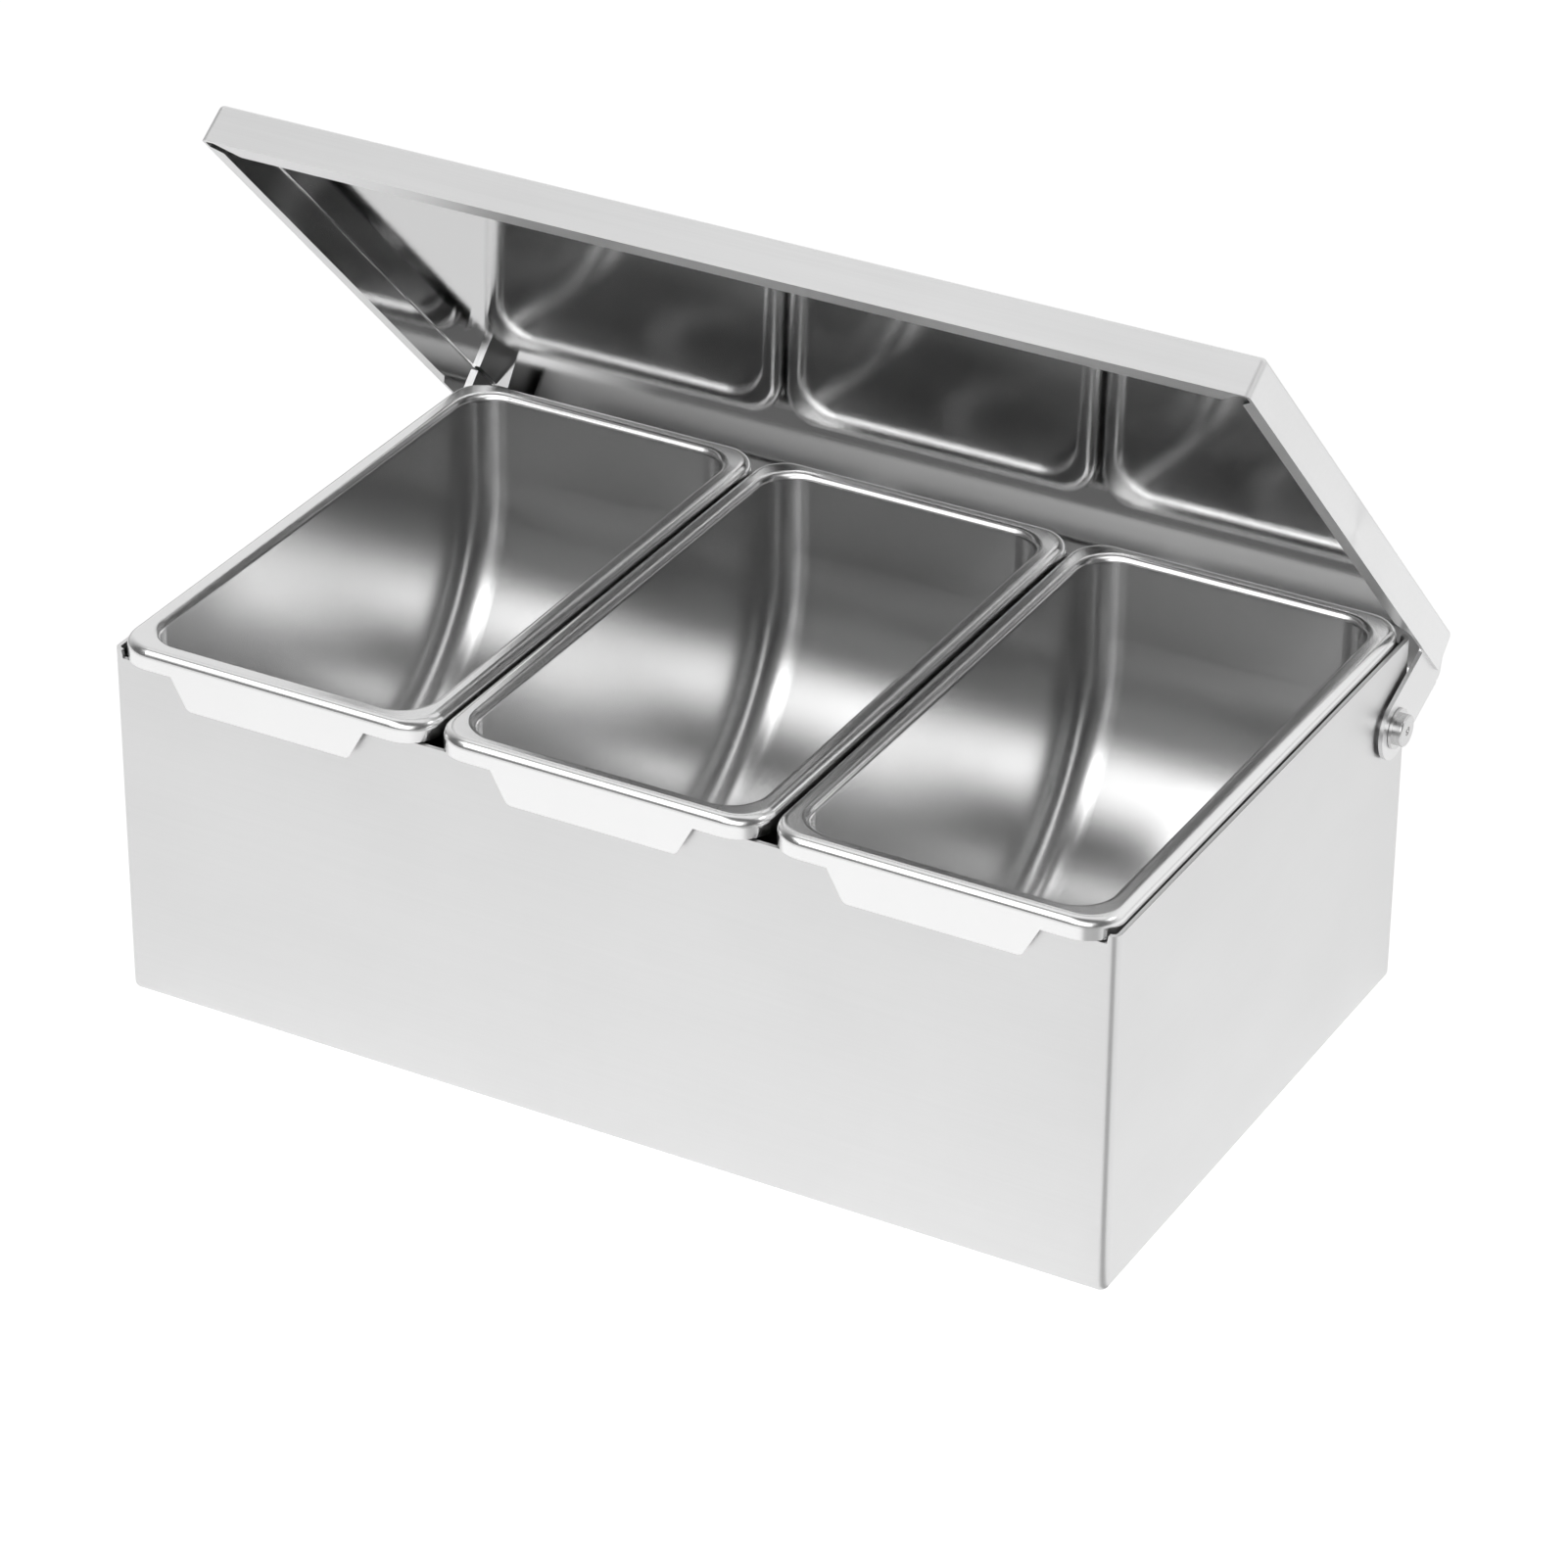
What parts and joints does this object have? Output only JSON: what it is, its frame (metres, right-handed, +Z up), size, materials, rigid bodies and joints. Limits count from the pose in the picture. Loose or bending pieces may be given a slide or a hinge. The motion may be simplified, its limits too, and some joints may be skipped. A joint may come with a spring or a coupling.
{
  "type": "condiment caddy with hinged lid",
  "caption": "Brushed steel countertop condiment holder: a box housing with lift-out serving pans under a shallow tray lid on riveted hinge arms.",
  "frame": {"origin": "centre of the housing's footprint, on the plane that the rubber feet stand on", "axes": "+X to the right as seen from the front, +Y from the front to the hinge side, +Z up"},
  "size_m": [0.311, 0.2017, 0.2411],
  "materials": {
    "housing_steel": "satin brushed",
    "lid_steel": "satin brushed",
    "arm_steel": "satin brushed",
    "pan_steel": "half polished",
    "rivet_steel": "bright",
    "foot_rubber": "matt"
  },
  "bodies": {
    "housing": {"body_shell": "housing_steel", "base_plate": "housing_steel", "front_pan_rail": "housing_steel", "rear_pan_rail": "housing_steel", "pivot_rivet_left": "rivet_steel", "pivot_rivet_right": "rivet_steel", "outer_washer_left": "rivet_steel", "outer_washer_right": "rivet_steel", "spacer_washer_left": "rivet_steel", "spacer_washer_right": "rivet_steel", "clinch_washer_left": "rivet_steel", "clinch_washer_right": "rivet_steel", "foot_front_left": "foot_rubber", "foot_front_right": "foot_rubber", "foot_rear_left": "foot_rubber", "foot_rear_right": "foot_rubber"},
    "lid": {"lid_tray": "lid_steel", "hinge_arm_left": "arm_steel", "hinge_arm_right": "arm_steel"},
    "left_pan": {"pan_left": "pan_steel"},
    "middle_pan": {"pan_middle": "pan_steel"},
    "right_pan": {"pan_right": "pan_steel"}
  },
  "joints": [
    {"name": "lid_hinge", "type": "hinge", "parent": "housing", "child": "lid", "pos_m": [0, 0.0768, 0.0874], "axis": [-1, 0, 0], "range_deg": [-46.5, 61.5]},
    {"name": "left_pan_lift", "type": "slide", "parent": "housing", "child": "left_pan", "axis": [0, 0, 1], "range_m": [0, 0.0045]},
    {"name": "middle_pan_lift", "type": "slide", "parent": "housing", "child": "middle_pan", "axis": [0, 0, 1], "range_m": [0, 0.0045]},
    {"name": "right_pan_lift", "type": "slide", "parent": "housing", "child": "right_pan", "axis": [0, 0, 1], "range_m": [0, 0.0045]}
  ]
}
